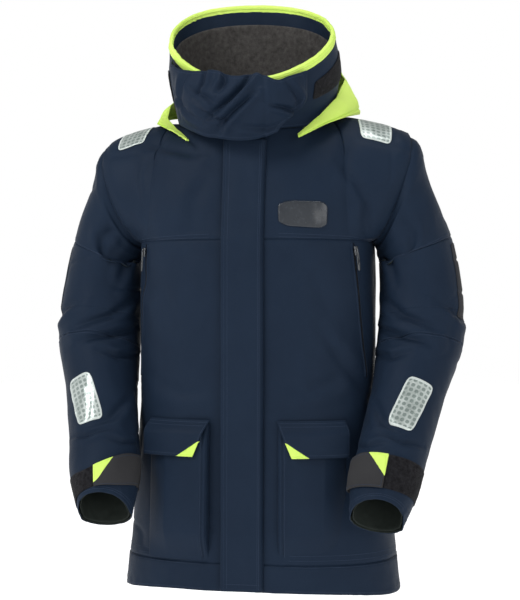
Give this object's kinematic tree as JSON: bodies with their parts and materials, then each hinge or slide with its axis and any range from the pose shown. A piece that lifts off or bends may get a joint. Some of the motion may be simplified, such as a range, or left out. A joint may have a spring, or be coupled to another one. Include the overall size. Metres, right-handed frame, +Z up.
{
  "type": "foul weather jacket",
  "caption": "Hooded offshore sailing jacket with high collar, face guard, storm flap, cargo pockets and adjustable cuffs.",
  "frame": {"origin": "middle of the underside of the hang loop's strap, inside the back of the neck", "axes": "-Y out of the front of the jacket, +X towards the wearer's left sleeve, +Z up towards the collar"},
  "size_m": [0.7402, 0.4213, 1.0437],
  "materials": {
    "navy_shell": "satin",
    "yellow_shell": "satin",
    "charcoal_trim": "matte",
    "fleece": "matte",
    "hook_and_loop": "matte",
    "zip": "satin",
    "reflective": "glossy",
    "print_black": "glossy",
    "lining": "matte"
  },
  "bodies": {
    "root": {"front_panel_left": "navy_shell", "front_panel_right": "navy_shell", "back_panel": "navy_shell", "front_yoke_left": "navy_shell", "front_yoke_right": "navy_shell", "back_yoke": "navy_shell", "hem_band": "navy_shell", "front_zip_tape_left": "zip", "front_zip_tape_right": "zip", "front_zip_teeth": "zip", "inner_storm_guard": "navy_shell", "chest_zip_left": "zip", "chest_zip_right": "zip", "hand_pocket_bag_left": "lining", "hand_pocket_bag_right": "lining", "cargo_pocket_left": "navy_shell", "cargo_pocket_right": "navy_shell", "collar_shell": "navy_shell", "collar_lining": "fleece", "collar_facing": "navy_shell", "collar_rim": "yellow_shell", "collar_loop_patch": "hook_and_loop", "face_guard_loop": "hook_and_loop", "hood_cowl": "yellow_shell", "shoulder_reflector_left": "reflective", "shoulder_reflector_right": "reflective", "chest_badge": "print_black", "hang_loop": "navy_shell"},
    "storm_flap": {"storm_flap": "navy_shell"},
    "front_slider": {"front_zip_slider": "zip"},
    "front_pull": {"front_zip_pull": "zip"},
    "face_guard": {"face_guard": "navy_shell"},
    "hood": {"hood_crown": "yellow_shell", "hood_brim": "navy_shell"},
    "chest_slider_left": {"chest_zip_slider_left": "zip"},
    "chest_pull_left": {"chest_zip_pull_left": "zip"},
    "pocket_flap_left": {"pocket_flap_left": "navy_shell", "pocket_flap_corner_left": "yellow_shell"},
    "sleeve_left": {"sleeve_cap_left": "navy_shell", "upper_sleeve_left": "navy_shell", "elbow_panel_left": "charcoal_trim"},
    "forearm_left": {"forearm_left": "navy_shell", "cuff_lining_left": "lining", "forearm_reflector_left": "reflective", "cuff_loop_left": "hook_and_loop"},
    "cuff_tab_left": {"cuff_tab_left": "charcoal_trim", "cuff_tab_corner_left": "yellow_shell"},
    "chest_slider_right": {"chest_zip_slider_right": "zip"},
    "chest_pull_right": {"chest_zip_pull_right": "zip"},
    "pocket_flap_right": {"pocket_flap_right": "navy_shell", "pocket_flap_corner_right": "yellow_shell"},
    "sleeve_right": {"sleeve_cap_right": "navy_shell", "upper_sleeve_right": "navy_shell", "elbow_panel_right": "charcoal_trim"},
    "forearm_right": {"forearm_right": "navy_shell", "cuff_lining_right": "lining", "forearm_reflector_right": "reflective", "cuff_loop_right": "hook_and_loop"},
    "cuff_tab_right": {"cuff_tab_right": "charcoal_trim", "cuff_tab_corner_right": "yellow_shell"}
  },
  "joints": [
    {"name": "storm_flap_hinge", "type": "hinge", "parent": "root", "child": "storm_flap", "pos_m": [0.036, -0.2245, -0.45], "axis": [0, 0, 1], "range_deg": [0, 110]},
    {"name": "front_zip_slide", "type": "slide", "parent": "root", "child": "front_slider", "axis": [0, -0.156, -0.9878], "range_m": [0, 0.11]},
    {"name": "front_pull_swivel", "type": "hinge", "parent": "front_slider", "child": "front_pull", "pos_m": [0, -0.1955, -0.094], "axis": [0, -0.9878, 0.156], "range_deg": [-35, 35]},
    {"name": "face_guard_hinge", "type": "hinge", "parent": "root", "child": "face_guard", "pos_m": [-0.1335, -0.1742, 0.0256], "axis": [0.0945, 0.1678, -0.9813], "range_deg": [0, 95]},
    {"name": "hood_hinge", "type": "hinge", "parent": "root", "child": "hood", "pos_m": [0, 0.084, -0.022], "axis": [1, 0, 0], "range_deg": [0, 100]},
    {"name": "chest_zip_slide_left", "type": "slide", "parent": "root", "child": "chest_slider_left", "axis": [0.0895, 0.1172, -0.9891], "range_m": [0, 0.105]},
    {"name": "chest_pull_lift_left", "type": "hinge", "parent": "chest_slider_left", "child": "chest_pull_left", "pos_m": [0.1891, -0.1668, -0.2614], "axis": [-0.6628, -0.7488, 0], "range_deg": [0, 110]},
    {"name": "pocket_flap_hinge_left", "type": "hinge", "parent": "root", "child": "pocket_flap_left", "pos_m": [0.1187, -0.2126, -0.549], "axis": [-0.9524, -0.305, 0], "range_deg": [0, 150]},
    {"name": "shoulder_lift_left", "type": "hinge", "parent": "root", "child": "sleeve_left", "pos_m": [0.27, -0.067, -0.058], "axis": [0, -1, 0], "range_deg": [0, 60]},
    {"name": "elbow_bend_left", "type": "hinge", "parent": "sleeve_left", "child": "forearm_left", "pos_m": [0.2896, -0.1596, -0.4061], "axis": [-1, 0, 0], "range_deg": [0, 75]},
    {"name": "cuff_tab_hinge_left", "type": "hinge", "parent": "forearm_left", "child": "cuff_tab_left", "pos_m": [0.1795, -0.2237, -0.6403], "axis": [-0.0506, -0.545, -0.8369], "range_deg": [0, 80]},
    {"name": "chest_zip_slide_right", "type": "slide", "parent": "root", "child": "chest_slider_right", "axis": [-0.0895, 0.1172, -0.9891], "range_m": [0, 0.105]},
    {"name": "chest_pull_lift_right", "type": "hinge", "parent": "chest_slider_right", "child": "chest_pull_right", "pos_m": [-0.1891, -0.1668, -0.2614], "axis": [-0.6628, 0.7488, 0], "range_deg": [0, 110]},
    {"name": "pocket_flap_hinge_right", "type": "hinge", "parent": "root", "child": "pocket_flap_right", "pos_m": [-0.1187, -0.2126, -0.549], "axis": [-0.9524, 0.305, 0], "range_deg": [0, 150]},
    {"name": "shoulder_lift_right", "type": "hinge", "parent": "root", "child": "sleeve_right", "pos_m": [-0.27, -0.067, -0.058], "axis": [0, 1, 0], "range_deg": [0, 60]},
    {"name": "elbow_bend_right", "type": "hinge", "parent": "sleeve_right", "child": "forearm_right", "pos_m": [-0.2896, -0.1596, -0.4061], "axis": [-1, 0, 0], "range_deg": [0, 75]},
    {"name": "cuff_tab_hinge_right", "type": "hinge", "parent": "forearm_right", "child": "cuff_tab_right", "pos_m": [-0.1795, -0.2237, -0.6403], "axis": [-0.0506, 0.545, 0.8369], "range_deg": [0, 80]}
  ]
}
